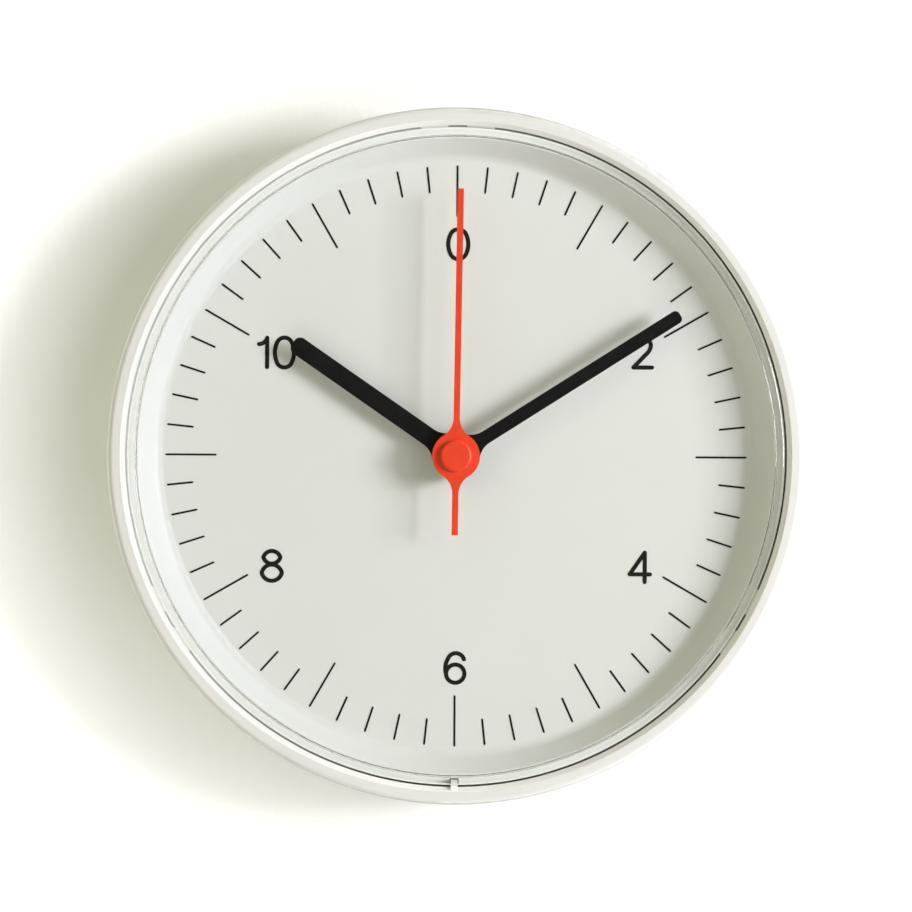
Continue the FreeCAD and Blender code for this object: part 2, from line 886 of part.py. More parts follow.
def centre_wheel():
    wheel = geared(centre_layer, centre_teeth, third_module, 0.0)
    front, back = centre_layer
    window = bar(centre_window_radius, front - 1.0, back + 1.0, (0, centre_window_distance))
    cutters = [turned(window, 90.0 * n) for n in range(4)]
    return without(wheel, cutters + [bar(minute_pipe_radius, front - 1.0, back + 1.0)])


def arbor_with(pieces, shoulder_start, where):
    """Wheels on an arbor whose thin ends run in the housing and in the bridge."""
    shaft = bar(arbor_radius, shoulder_start, shoulder_end, where)
    pivots = bar(pivot_radius, pivot_start_depth, pivot_end, where)
    return all_of(pieces + [shaft, pivots])


def third_wheel():
    wheel = geared(third_layer, third_teeth, second_module, third_phase, THIRD)
    pinion = geared(third_pinion_layer, third_pinion_teeth, third_module, third_pinion_phase, THIRD)
    return arbor_with([wheel, pinion], third_pinion_layer[0], THIRD)


def second_wheel():
    wheel = geared(second_layer, second_teeth, intermediate_module, 0.0)
    pinion = geared(second_pinion_layer, second_pinion_teeth, second_module, 0.0)
    hub = bar(second_hub_radius, second_pinion_layer[1], bridge_layer[0] - 1.0)
    bore = bar(second_arbor_radius, second_pinion_layer[0] - 1.0, bridge_layer[0])
    return all_of([wheel, pinion, hub]).cut(bore)


def second_arbor():
    return disc(second_arbor_radius, inside(pivot_end), second_level + hand_thickness)


def intermediate_wheel():
    wheel = geared(intermediate_layer, intermediate_teeth, rotor_module, 0.0, INTERMEDIATE)
    pinion = geared(
        intermediate_pinion_layer,
        intermediate_pinion_teeth,
        intermediate_module,
        intermediate_pinion_phase,
        INTERMEDIATE,
    )
    return arbor_with([wheel, pinion], intermediate_pinion_layer[0] - shoulder, INTERMEDIATE)


def rotor_pinion():
    pinion = geared(rotor_pinion_layer, rotor_teeth, rotor_module, rotor_phase, ROTOR)
    shaft = bar(rotor_shaft_radius, magnet_layer[0] - shoulder, rotor_pinion_layer[1], ROTOR)
    pivots = bar(pivot_radius, rotor_boss_depth - rotor_pivot_length, pivot_end, ROTOR)
    return all_of([pinion, shaft, pivots])


def rotor_magnet():
    front, back = magnet_layer
    bore = bar(rotor_shaft_radius, front - 1.0, back + 1.0, ROTOR)
    return bar(magnet_radius, front, back, ROTOR).cut(bore)


def motion_wheel():
    wheel = geared(motion_layer, motion_teeth, cannon_module, motion_phase, MOTION)
    pinion = geared(motion_pinion_layer, motion_pinion_teeth, hour_module, 0.0, MOTION)
    arbor = bar(arbor_radius, motion_pivot_depth, middle_plate_layer[1] - motion_arbor_gap, MOTION)
    return all_of([wheel, pinion, arbor])


def setting_pinion():
    pinion = geared(motion_layer, setting_teeth, cannon_module, setting_phase, SETTING)
    shaft = disc(setting_radius, knob_level + knob_dish_depth, inside(motion_pivot_depth), SETTING)
    return all_of([pinion, shaft])


def setting_knob():
    """A fluted knob that a fingertip turns from behind."""
    outline = []
    for step in range(2 * knob_flutes):
        radius = knob_radius - (step % 2) * knob_flute_depth
        angle = math.pi * (step + 0.5) / knob_flutes
        outline.append((SETTING[0] + radius * math.cos(angle), SETTING[1] + radius * math.sin(angle)))
    knob = prism(outline, knob_level, knob_level + knob_thickness)
    seat = knob_level + knob_dish_depth
    dish = disc(knob_radius - knob_edge, knob_level - 1.0, seat, SETTING)
    return without(knob, [dish, disc(setting_radius, seat, rear_gap, SETTING)])


# Movement housing and plates


def housing_shell():
    """The outside of the tray and the rooms that are cut out of it."""
    half = outer_half
    notch = finger_notch
    floor = movement_front - housing_wall
    open_end = rear_gap - 1.0
    body = block(-half, half, housing_bottom, housing_top, rear_gap, movement_front)
    corners = [(x, z) for x in (-half, half) for z in (housing_bottom, housing_top)]
    body = rounded_posts(body, corner_round, corners)
    rooms = [
        block(-inner_half, inner_half, -train_drop, train_rise, open_end, floor),
        block(-inner_half, inner_half, bay_bottom, bay_top, open_end, floor),
        block(-half - 1.0, half + 1.0, bay_top, housing_top + 1.0, open_end, lid_level),
        block(-notch, notch, housing_bottom - 1.0, bay_bottom + notch_lip, open_end, battery_level),
    ]
    slot_back = inside(arm_depths[1] + arm_play)
    slot_front = inside(arm_depths[0] - arm_play)
    for side in (-1, 1):
        ends = sorted([side * inner_half, side * (inner_half - contact_thickness - arm_play)])
        rooms.append(block(*ends, bay_top - 1.0, 1.0 - train_drop, slot_back, slot_front))
    return without(body, rooms)


def front_housing():
    """The tray that holds the train and the battery, with the threaded bush on its front."""
    face = housing_wall / 2
    boss_end = middle_plate_layer[0] - boss_gap
    bush = disc(bush_radius, inside(housing_wall), movement_front + bush_height)
    pieces = [housing_shell(), bush]
    pieces += [bar(boss_radius, face, boss_end, where) for where in (THIRD, INTERMEDIATE)]
    pieces.append(bar(boss_radius, face, rotor_boss_depth, ROTOR))
    for where in bridge_posts:
        pieces.append(bar(post_foot_radius, face, middle_plate_layer[0], where))
        pieces.append(bar(post_radius, face, bridge_layer[0], where))
    pieces += [bar(post_radius, face, board_layer[0], where) for where in board_posts]
    holes = [disc(bush_bore, inside(housing_wall + 1.0), movement_front + bush_height + 1.0)]
    pivot_room = pivot_start_depth - end_play
    holes += [bar(pivot_bore, pivot_room, boss_end + 1.0, where) for where in (THIRD, INTERMEDIATE)]
    rotor_room = rotor_boss_depth - rotor_pivot_length - end_play
    holes.append(bar(pivot_bore, rotor_room, rotor_boss_depth + 1.0, ROTOR))
    for radius, where in ((arbor_radius, MOTION), (setting_radius, SETTING)):
        end = motion_pivot_depth - front_pivot_gap
        holes.append(bar(radius + pivot_clearance, end, housing_wall + 1.0, where))
    for end, places in ((bridge_layer[1], bridge_posts), (board_layer[1], board_posts)):
        tip = end - movement_screw_length - screw_tip_room
        holes += [bar(movement_screw_radius, tip, end, where) for where in places]
    return without(all_of(pieces), holes)


def hanging_loop():
    front = rear_gap + loop_thickness
    top = housing_top + loop_height
    outline = [(-loop_foot, housing_top), (-loop_head, top), (loop_head, top), (loop_foot, housing_top)]
    loop = prism(outline, rear_gap, front)
    loop = rounded_posts(loop, loop_round, [(-loop_head, top), (loop_head, top)])
    right = [
        (loop_hole_half, loop_hole_start),
        (loop_hole_half, loop_hole_shoulder),
        (loop_slot_half, loop_slot_end),
    ]
    left = [(-x, z) for x, z in reversed(right)]
    hole = prism([(x, housing_top + z) for x, z in right + left], rear_gap - 1.0, front + 1.0)
    return loop.cut(hole)


def rear_housing():
    """The lid over the train, with its lip, its side clips and the loop."""
    half = outer_half
    lid = block(-half, half, bay_top, housing_top, rear_gap, lid_level)
    lid = rounded_posts(lid, corner_round, [(-half, housing_top), (half, housing_top)])
    side = inner_half - lip_play
    top = train_rise - lip_play
    bottom = lip_play - train_drop
    lip = block(-side, side, bottom, top, lid_level, lid_level + lip_height)
    w = lip_width
    lip_room = block(w - side, side - w, bottom + w, top - w, lid_level, lid_level + lip_height + 1.0)
    pieces = [lid, lip.cut(lip_room), hanging_loop()]
    for edge in (-half - clip_thickness, half):
        for height in clip_heights:
            low = height - clip_half_height
            high = height + clip_half_height
            pieces.append(block(edge, edge + clip_thickness, low, high, rear_gap, inside(clip_depth)))
    hole = disc(setting_radius + setting_play, rear_gap - 1.0, lid_level + 1.0, SETTING)
    return all_of(pieces).cut(hole)


def plate(layer, holes):
    """A bearing plate across the train, with holes given as (radius, position)."""
    front, back = layer
    body = block(*plate_edges, inside(back), inside(front))
    corners = [(x, z) for x in plate_edges[:2] for z in plate_edges[2:]]
    body = rounded_posts(body, plate_round, corners)
    return without(body, [bar(radius, front - 1.0, back + 1.0, where) for radius, where in holes])


def middle_plate():
    holes = [(post_radius + post_play, where) for where in bridge_posts]
    holes += [(pivot_bore, where) for where in (THIRD, INTERMEDIATE)]
    holes += [
        (minute_pipe_radius + shaft_room, AXLE),
        (arbor_radius + pivot_clearance, MOTION),
        (setting_radius + shaft_room, SETTING),
        (boss_radius + shaft_room, ROTOR),
    ]
    return plate(middle_plate_layer, holes)


def train_bridge():
    holes = [(movement_screw_radius + movement_screw_play, where) for where in bridge_posts]
    holes += [(pivot_bore, where) for where in (THIRD, INTERMEDIATE, ROTOR)]
    holes += [(second_arbor_radius + pivot_clearance, AXLE), (setting_radius + shaft_room, SETTING)]
    return plate(bridge_layer, holes)


def movement_screws():
    screws = []
    for seat, places in ((bridge_layer[1], bridge_posts), (board_layer[1], board_posts)):
        for where in places:
            screws.append(
                cross_screw(
                    movement_screw_radius,
                    movement_screw_head,
                    movement_screw_length,
                    movement_screw_head_height,
                    inside(seat),
                    where,
                )
            )
    return Part.makeCompound(screws)


# Electrical parts


def circuit_board():
    edge = inner_half - contact_thickness
    front, back = board_layer
    board = block(-edge, edge, board_bottom, train_rise - board_margin, inside(back), inside(front))
    radius = movement_screw_radius + movement_screw_play
    return without(board, [bar(radius, front - 1.0, back + 1.0, where) for where in board_posts])


def chip_cover():
    back = board_layer[1] + chip_height
    dome = bar(chip_radius, board_layer[1], back, chip_place)
    rim = [edge for edge in dome.Edges if isinstance(edge.Curve, Part.Circle)]
    rear = [edge for edge in rim if abs(edge.Curve.Center.y + inside(back)) < 0.01]
    return dome.makeFillet(chip_round, rear)


def crystal_can():
    level = inside(board_layer[1]) - crystal_radius - crystal_gap
    start = point(crystal_place[0], level, crystal_place[1])
    return Part.makeCylinder(crystal_radius, crystal_length, start, FreeCAD.Vector(1, 0, 0))


def along_coil(radius, start, length):
    """A cylinder about the axis of the coil, from a distance behind its left end."""
    place = point(coil_start + start, inside(coil_depth), coil_height)
    return Part.makeCylinder(radius, length, place, FreeCAD.Vector(1, 0, 0))


def core_bar(play):
    """The flat bar through the coil, or with some play the slot for it."""
    half = core_width / 2 + play
    thick = core_thickness / 2 + play
    level = inside(coil_depth)
    low = coil_height - half
    return block(core_start, core_end, low, low + 2 * half, level - thick, level + thick)


def coil_bobbin():
    far = coil_length - bobbin_flange
    pieces = [along_coil(bobbin_radius, 0.0, coil_length)]
    pieces += [along_coil(bobbin_flange_radius, start, bobbin_flange) for start in (0.0, far)]
    return all_of(pieces).cut(core_bar(core_play))


def coil_winding():
    length = coil_length - 2 * bobbin_flange
    wire = along_coil(coil_radius, bobbin_flange, length)
    return wire.cut(along_coil(bobbin_radius, 0.0, coil_length))


def coil_core():
    return core_bar(0.0)


def stator():
    """The soft iron plate that carries the coil's field round the rotor."""
    levels = [inside(depth) for depth in reversed(stator_layer)]
    x, z = ROTOR
    foot = coil_height + core_width / 2 + stator_leg_margin
    end = core_end
    around = stator_around
    pieces = [
        block(core_start, end, stator_bottom, stator_top, *levels),
        block(core_start, core_start + stator_legs[0], stator_bottom, foot, *levels),
        block(end - stator_legs[1], end, stator_bottom, foot, *levels),
        block(x - around, x + around, z - around, stator_top, *levels),
    ]
    window = bar(magnet_radius + stator_air_gap, stator_layer[0] - 1.0, stator_layer[1] + 1.0, ROTOR)
    return all_of(pieces).cut(window)


def contact_plate(side):
    """The flat of a battery contact against the side wall, and its arm up to the board."""
    ends = sorted([side * inner_half, side * (inner_half - contact_thickness)])
    flat_top = bay_top - contact_margin
    flat_levels = [inside(depth) for depth in reversed(contact_depths)]
    arm_levels = [inside(depth) for depth in reversed(arm_depths)]
    flat = block(*ends, bay_bottom + contact_margin, flat_top, *flat_levels)
    return all_of([flat, block(*ends, flat_top, arm_top, *arm_levels)])


def positive_contact():
    return contact_plate(1)


def negative_contact():
    """The contact whose bowed leaf presses the battery against the other one."""
    x0 = contact_thickness - inner_half
    x1 = x0 + contact_spring
    half = leaf_half_height
    crown = half / 3
    thick = leaf_thickness
    upper = [(x0, half), (x1, crown)]
    under = [(x1 - thick, crown - thick / 2), (x0, half - 2 * thick)]
    outline = [(x, -z) for x, z in upper] + [(x, z) for x, z in reversed(upper)]
    outline += [(x, z) for x, z in reversed(under)] + [(x, -z) for x, z in under]
    corners = [(x, battery_height + z) for x, z in outline]
    leaf = prism(corners, battery_level - leaf_half_width, battery_level + leaf_half_width)
    return all_of([contact_plate(-1), leaf])


def battery_jacket():
    start = point(inner_half - contact_thickness - battery_length, battery_level, battery_height)
    length = battery_length - terminal_length
    jacket = Part.makeCylinder(battery_diameter / 2, length, start, FreeCAD.Vector(1, 0, 0))
    rims = [edge for edge in jacket.Edges if isinstance(edge.Curve, Part.Circle)]
    return jacket.makeFillet(battery_round, rims)


def battery_terminal():
    start = point(inner_half - contact_thickness - terminal_length, battery_level, battery_height)
    return Part.makeCylinder(terminal_radius, terminal_length, start, FreeCAD.Vector(1, 0, 0))


# What clamps the movement to the dial


def rubber_washer():
    return tube(rubber_radius, bush_radius + bush_clearance, movement_front, dial_back)


def nut_washer():
    front = dial_level + nut_washer_thickness
    return tube(nut_washer_radius, bush_radius + nut_washer_play, dial_level, front)


def fixing_nut():
    back = dial_level + nut_washer_thickness
    corner = nut_across / math.sqrt(3)
    turns = [math.pi * n / 3 for n in range(6)]
    outline = [(corner * math.sin(turn), corner * math.cos(turn)) for turn in turns]
    front = back + nut_height
    return prism(outline, back, front).cut(disc(bush_radius, back - 1.0, front + 1.0))


NODES = {
    "case_shell": case_shell,
    "dial_dish": dial_dish,
    "dish_screws": dish_screws,
    "lens": lens,
    "hour_marks": hour_marks,
    "minute_marks": minute_marks,
    "numerals": numerals,
    "front_housing": front_housing,
    "rear_housing": rear_housing,
    "middle_plate": middle_plate,
    "train_bridge": train_bridge,
    "movement_screws": movement_screws,
    "circuit_board": circuit_board,
    "chip_cover": chip_cover,
    "crystal_can": crystal_can,
    "coil_bobbin": coil_bobbin,
    "coil_winding": coil_winding,
    "coil_core": coil_core,
    "stator": stator,
    "positive_contact": positive_contact,
    "negative_contact": negative_contact,
    "rubber_washer": rubber_washer,
    "nut_washer": nut_washer,
    "fixing_nut": fixing_nut,
    "rotor_magnet": rotor_magnet,
    "rotor_pinion": rotor_pinion,
    "intermediate_wheel": intermediate_wheel,
    "second_wheel": second_wheel,
    "second_arbor": second_arbor,
    "second_hand": second_hand,
    "hub_cap": hub_cap,
    "third_wheel": third_wheel,
    "centre_wheel": centre_wheel,
    "minute_arbor": minute_arbor,
    "minute_hand": minute_hand,
    "motion_wheel": motion_wheel,
    "hour_wheel": hour_wheel,
    "hour_hand": hour_hand,
    "setting_pinion": setting_pinion,
    "setting_knob": setting_knob,
    "battery_jacket": battery_jacket,
    "battery_terminal": battery_terminal,
}

os.makedirs("parts", exist_ok=True)
for node, make in NODES.items():
    make().exportStep(f"parts/{node}.step")
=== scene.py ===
"""Looks and stage of the wall clock.

Materials for every CAD node, a wall behind the clock, a floor, lights and the camera.
"""

import json
import math

import bmesh
import bpy
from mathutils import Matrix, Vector


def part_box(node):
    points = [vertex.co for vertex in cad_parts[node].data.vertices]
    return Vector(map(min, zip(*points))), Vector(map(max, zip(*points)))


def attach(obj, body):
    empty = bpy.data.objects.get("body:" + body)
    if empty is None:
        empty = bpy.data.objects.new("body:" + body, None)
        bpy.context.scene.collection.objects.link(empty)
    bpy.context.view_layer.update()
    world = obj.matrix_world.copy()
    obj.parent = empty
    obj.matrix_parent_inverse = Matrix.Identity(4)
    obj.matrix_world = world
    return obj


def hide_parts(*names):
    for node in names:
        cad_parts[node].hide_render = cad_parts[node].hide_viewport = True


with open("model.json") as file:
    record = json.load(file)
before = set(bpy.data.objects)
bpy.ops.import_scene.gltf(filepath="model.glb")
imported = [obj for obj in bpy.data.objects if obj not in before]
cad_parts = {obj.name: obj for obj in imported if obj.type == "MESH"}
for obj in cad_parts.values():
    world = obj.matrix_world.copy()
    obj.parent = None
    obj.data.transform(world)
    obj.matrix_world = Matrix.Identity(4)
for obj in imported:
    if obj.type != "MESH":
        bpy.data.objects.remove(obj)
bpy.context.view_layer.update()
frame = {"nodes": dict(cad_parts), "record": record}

MM = 0.001

# Camera, straight in front of the clock
CAMERA_DISTANCE = 1.6
LENS_LENGTH = 162.6
CAMERA_ROLL = math.radians(0.33)

# Lens, in millimetres: radii, distances in front of the wall, the ears on its edge and the notch for the key
LENS_BORE = 121.8
LENS_RADIUS = 124.6
LENS_BACK = 38.85
LENS_FRONT = 41.05
LENS_ROUND = 1.2
FLANGE = 33.05
EAR_SPACING = 120.0
EAR_BEARINGS = (0.0, EAR_SPACING, 2 * EAR_SPACING)
EAR_OFFSET = 4.05
EAR_HALF_ANGLE = 2.35
EAR_RADIUS = 126.7
EAR_TOP = 34.25
NOTCH_HALF_ANGLE = 0.713
NOTCH_RADIUS = 122.4
NOTCH_TOP = 37.7
LENS_CENTRE = 60.0  # where its flat faces turn into fans of triangles
LENS_STEPS = 720
LENS_LIFT = 0.03  # off the flange

# Skin on the dish under the lens: radii and levels up the slope, radii of the flat, and its hidden side
LIP_SLOPE = ((117.8, 28.45), (120.62, 32.62), (120.8, 32.86), (120.98, 32.99))
LIP_FLAT = (121.2, 124.5)
LIP_HIDDEN_EDGE = 121.3
LIP_DEPTHS = (0.2, 0.3)  # below the flange, outside and inside

GAP_RADII = (124.35, 125.75)  # where shade is painted in the gap between the lens and the rim
GAP_LEVELS = (32.5, 35.6)
# Where shade is painted in the gap round the key at the bottom
KEY_RADII = (122.3, 125.4)
KEY_HALF_WIDTH = 1.6
KEY_SIDES_TOP = 37.3

# Painted light and shade on the sloped rings, lighter or darker by how each side of the clock faces the
# window: inner and outer radius, softness, factor away from the window and towards it, and where given the
# level behind which it stops
CASE_SLOPE_SHADING = [(125.3, 127.3, 0.3, 1.2, 0.84), (131.9, 133.5, 0.3, 0.7, 1.0, -1.0)]
DISH_SLOPE_SHADING = [(114.0, 120.8, 1.4, 0.98, 0.79), (121.2, 124.2, 0.2, 1.2, 1.2)]

# Turned meshes
SHARP_ANGLE = math.radians(30)
MERGE_DISTANCE = 0.000001

# Stage
WALL_GAP = 0.0004
WALL_SIZE = (4.0, 3.0)
FLOOR_DROP = 1.3
# Painted light on the wall: a glow, stretched and shifted about the clock, that lightens the clock's shadow
GLOW_STRETCH = (1.0, 0.0, 1.08)
GLOW_SHIFT = (0.0, 0.0, -0.012)
GLOW_RADII = (0.142, 0.215)  # where the wall's glow starts and is full
GLOW_STRENGTHS = (0.055, 0.6)
GLOW_FADE = (0.5, 0.8)  # where it starts to fade and is gone
WORLD_STRENGTH = 0.41  # all round but behind the camera, where the studio is dark
DARK_STRENGTH = 0.02
DARK_FADE = (-0.9, -0.6)  # directions along Y between which the dark turns to the rest


# Nodes


class Tree:
    """A material's node tree, with short calls for the nodes used here."""

    def __init__(self, name):
        self.material = bpy.data.materials.new(name)
        self.material.use_nodes = True
        self.nodes = self.material.node_tree.nodes
        self.links = self.material.node_tree.links
        self.nodes.clear()
        self.output = self.nodes.new("ShaderNodeOutputMaterial")
        self.where = self.nodes.new("ShaderNodeTexCoord").outputs["Object"]

    def add(self, kind, **inputs):
        node = self.nodes.new(kind)
        for name, value in inputs.items():
            self.feed(node.inputs[name.replace("_", " ")], value)
        return node

    def feed(self, socket, value):
        if isinstance(value, bpy.types.NodeSocket):
            self.links.new(value, socket)
        else:
            socket.default_value = value

    def math(self, operation, a, b=0.0, clamp=False):
        node = self.nodes.new("ShaderNodeMath")
        node.operation = operation
        node.use_clamp = clamp
        self.feed(node.inputs[0], a)
        self.feed(node.inputs[1], b)
        return node.outputs[0]

    def stretched(self, scale, shift=(0.0, 0.0, 0.0)):
        """The object's own coordinates, stretched along each axis and then shifted."""
        node = self.nodes.new("ShaderNodeMapping")
        self.feed(node.inputs["Vector"], self.where)
        node.inputs["Scale"].default_value = scale
        node.inputs["Location"].default_value = shift
        return node.outputs["Vector"]

    def noise(self, size, detail=3.0, roughness=0.5, vector=None):
        """Noise whose features are about this many metres across."""
        node = self.add("ShaderNodeTexNoise", Scale=1.0 / size, Detail=detail, Roughness=roughness)
        self.feed(node.inputs["Vector"], vector or self.where)
        return node.outputs["Fac"]

    def ramp(self, value, low, high, out_low=0.0, out_high=1.0):
        node = self.add("ShaderNodeMapRange", Value=value, From_Min=low, From_Max=high)
        self.feed(node.inputs["To Min"], out_low)
        self.feed(node.inputs["To Max"], out_high)
        return node.outputs["Result"]

    def mix(self, factor, a, b, blend="MIX"):
        node = self.nodes.new("ShaderNodeMix")
        node.data_type = "RGBA"
        node.blend_type = blend
        self.feed(node.inputs[0], factor)
        self.feed(node.inputs[6], a)
        self.feed(node.inputs[7], b)
        return node.outputs[2]

    def bump(self, height, distance, strength=1.0, normal=None):
        node = self.add("ShaderNodeBump", Height=height, Distance=distance, Strength=strength)
        if normal:
            self.feed(node.inputs["Normal"], normal)
        return node.outputs["Normal"]

    def edges(self, radius):
        """1 on edges sharper than the surface around them, by how far a rounded normal leans."""
        bevel = self.nodes.new("ShaderNodeBevel")
        bevel.samples = 4
        bevel.inputs["Radius"].default_value = radius
        geometry = self.nodes.new("ShaderNodeNewGeometry")
        dot = self.nodes.new("ShaderNodeVectorMath")
        dot.operation = "DOT_PRODUCT"
        self.feed(dot.inputs[0], bevel.outputs["Normal"])
        self.feed(dot.inputs[1], geometry.outputs["Normal"])
        return self.ramp(dot.outputs["Value"], 0.995, 0.9, 0.0, 1.0)

    def grey(self, value):
        node = self.nodes.new("ShaderNodeCombineColor")
        for socket in node.inputs:
            self.feed(socket, value)
        return node.outputs[0]

    def within(self, value, low, high, soft):
        """1 between the two bounds, falling to 0 over a soft step at each."""
        rise = self.ramp(value, low - soft, low)
        fall = self.ramp(value, high, high + soft, 1.0, 0.0)
        return self.math("MULTIPLY", rise, fall)

    def place(self):
        """The object's own x, y and z, and the distance from the clock's axis."""
        axis = self.nodes.new("ShaderNodeSeparateXYZ")
        self.feed(axis.inputs[0], self.where)
        x, y, z = axis.outputs
        squares = self.math("ADD", self.math("MULTIPLY", x, x), self.math("MULTIPLY", z, z))
        return x, y, z, self.math("SQRT", squares)

    def joint(self):
        """Painted shade in the gap round the lens: full where the gap is open, weak at the ears, deepest on
        the side away from the window.
        """
        x, y, z, radius = self.place()
        ring = self.within(radius, GAP_RADII[0] * MM, GAP_RADII[1] * MM, 0.05 * MM)
        level = self.math("MULTIPLY", y, -1.0)
        deep = self.within(level, GAP_LEVELS[0] * MM, GAP_LEVELS[1] * MM, 0.1 * MM)
        half = math.radians(EAR_SPACING / 2)
        bearing = self.math("ADD", self.math("ARCTAN2", x, z), math.radians(360) + half)
        fold = self.math("SUBTRACT", self.math("MODULO", bearing, math.radians(EAR_SPACING)), half)
        turn = self.math("ABSOLUTE", fold)
        first = math.radians(EAR_OFFSET - EAR_HALF_ANGLE)
        last = math.radians(EAR_OFFSET + EAR_HALF_ANGLE)
        ear = self.within(turn, first, last, math.radians(0.1))
        # painted shade: weak at the ears, deepest on the side of the clock away from the window
        open_gap = self.ramp(ear, 0.0, 1.0, 1.0, 0.25)
        side = self.math("DIVIDE", self.math("ADD", x, self.math("MULTIPLY", z, -0.35)), radius)
        shade = self.ramp(side, -0.75, 0.1, 0.55, 1.0)
        inside = self.math("MULTIPLY", ring, deep)
        gap = self.math("MULTIPLY", inside, self.math("MULTIPLY", open_gap, shade))
        return self.math("MAXIMUM", gap, self.painted_key_outline(x, y, z, radius))

    def painted_key_outline(self, x, y, z, radius):
        """Painted shade in the gap that outlines the key at the bottom."""
        near = self.within(x, -KEY_HALF_WIDTH * MM, KEY_HALF_WIDTH * MM, 0.03 * MM)
        ring = self.within(radius, KEY_RADII[0] * MM, KEY_RADII[1] * MM, 0.05 * MM)
        level = self.math("MULTIPLY", y, -1.0)
        low = self.within(level, GAP_LEVELS[0] * MM, KEY_SIDES_TOP * MM, 0.05 * MM)
        below = self.math("LESS_THAN", z, 0.0)
        beside = self.math("MULTIPLY", near, ring)
        return self.math("MULTIPLY", beside, self.math("MULTIPLY", low, below))

    def slope_shading(self, inner, outer, soft, away, towards_window, back=24.0):
        """Painted light and shade for a sloped ring: a factor on its colour, by how its side of the clock
        faces the window.
        """
        x, y, z, radius = self.place()
        ring = self.within(radius, inner * MM, outer * MM, soft * MM)
        front = self.math("GREATER_THAN", self.math("MULTIPLY", y, -1.0), back * MM)
        # painted light and shade: the factor goes by which side of the clock faces the window
        factor = self.ramp(self.math("DIVIDE", x, radius), -0.95, -0.2, towards_window, away)
        return self.ramp(self.math("MULTIPLY", ring, front), 0.0, 1.0, 1.0, factor)

    def surface(self, **inputs):
        """A Principled shader on the output."""
        shader = self.nodes.new("ShaderNodeBsdfPrincipled")
        for name, value in inputs.items():
            self.feed(shader.inputs[name.replace("_", " ")], value)
        self.links.new(shader.outputs[0], self.output.inputs["Surface"])
        return shader


def colour(r, g, b):
    return (r, g, b, 1.0)


def shaded(rgba, factor):
    return (rgba[0] * factor, rgba[1] * factor, rgba[2] * factor, 1.0)


# Objects


def linked(name, data):
    """A new object with this data, in the scene."""
    made = bpy.data.objects.new(name, data)
    bpy.context.scene.collection.objects.link(made)
    return made


def turned(name, mesh, material):
    """A smooth object with sharp edges kept."""
    for face in mesh.polygons:
        face.use_smooth = True
    mesh.set_sharp_from_angle(angle=SHARP_ANGLE)
    mesh.materials.append(material)
    return linked(name, mesh)


# Materials


def moulded(name, base, rough, grain=0.0004, grain_depth=0.00001, coat=0.0, shift=0.05, slope_shading=(), **extra):
    """Moulded plastic: faint flow marks in its colour, uneven gloss and a fine grain. Given sloped rings, it
    also paints light and shade on them and shade in the gap round the lens.
    """
    t = Tree(name)
    flow = t.noise(0.045, 4.0, 0.55)
    fine = t.noise(0.0035, 3.0)
    tone = t.mix(t.ramp(flow, 0.3, 0.7), shaded(base, 1.0 - shift), shaded(base, 1.0 + shift * 0.4))
    tone = t.mix(t.ramp(fine, 0.2, 0.8, 0.0, 0.35), tone, shaded(base, 1.0 - shift * 0.5))
    gloss = t.ramp(t.noise(0.018, 5.0, 0.6), 0.25, 0.75, rough - 0.05, rough + 0.06)
    # painted light and shade: each sloped ring is lightened or darkened by how its side faces the window
    for slope in slope_shading:
        factor = t.slope_shading(*slope)
        tone = t.mix(1.0, tone, t.grey(factor), "MULTIPLY")
    # painted shade: the gap round the lens and the outline of the key are darkened
    if slope_shading:
        tone = t.mix(t.joint(), tone, colour(0.004, 0.0035, 0.003))
    normal = t.bump(t.noise(grain, 2.0), grain_depth, 0.6)
    t.surface(Base_Color=tone, Roughness=gloss, Normal=normal, Coat_Weight=coat, **extra)
    return t.material


def printed(name, base):
    """A thin layer of matt ink, slightly uneven where the screen left it."""
    t = Tree(name)
    cover = t.noise(0.0006, 3.0, 0.6)
    tone = t.mix(t.ramp(cover, 0.3, 0.75), base, shaded(base, 1.8))
    gloss = t.ramp(t.noise(0.002, 3.0), 0.3, 0.7, 0.42, 0.56)
    shader = t.surface(Base_Color=tone, Roughness=gloss, Normal=t.bump(cover, 0.00001, 0.4))
    shader.inputs["Specular IOR Level"].default_value = 0.2
    return t.material


def lacquered(name, base, rough, specular):
    """Lacquer on stamped sheet: orange peel, dust in the coat and paler worn edges."""
    t = Tree(name)
    peel = t.noise(0.0009, 3.0, 0.5)
    mottle = t.ramp(t.noise(0.008, 4.0), 0.3, 0.7)
    tone = t.mix(mottle, shaded(base, 0.93), shaded(base, 1.06))
    tone = t.mix(t.math("MULTIPLY", t.edges(0.00012), 0.35), tone, shaded(base, 1.9))
    gloss = t.ramp(t.noise(0.004, 4.0), 0.3, 0.7, rough - 0.05, rough + 0.07)
    shader = t.surface(Base_Color=tone, Roughness=gloss, Normal=t.bump(peel, 0.000012, 0.5))
    shader.inputs["Specular IOR Level"].default_value = specular
    return t.material


def metal(name, base, rough, lines=(1.0, 1.0, 1.0), line_size=0.0006):
    """Bare or plated metal, with tool lines along the axes that aren't stretched."""
    t = Tree(name)
    grain = t.noise(line_size, 4.0, 0.6, t.stretched(lines))
    tone = t.mix(t.ramp(t.noise(0.003, 4.0), 0.3, 0.7), shaded(base, 0.82), base)
    gloss = t.ramp(grain, 0.25, 0.75, rough - 0.06, rough + 0.1)
    normal = t.bump(grain, 0.000012, 0.5)
    t.surface(Base_Color=tone, Metallic=1.0, Roughness=gloss, Normal=normal)
    return t.material


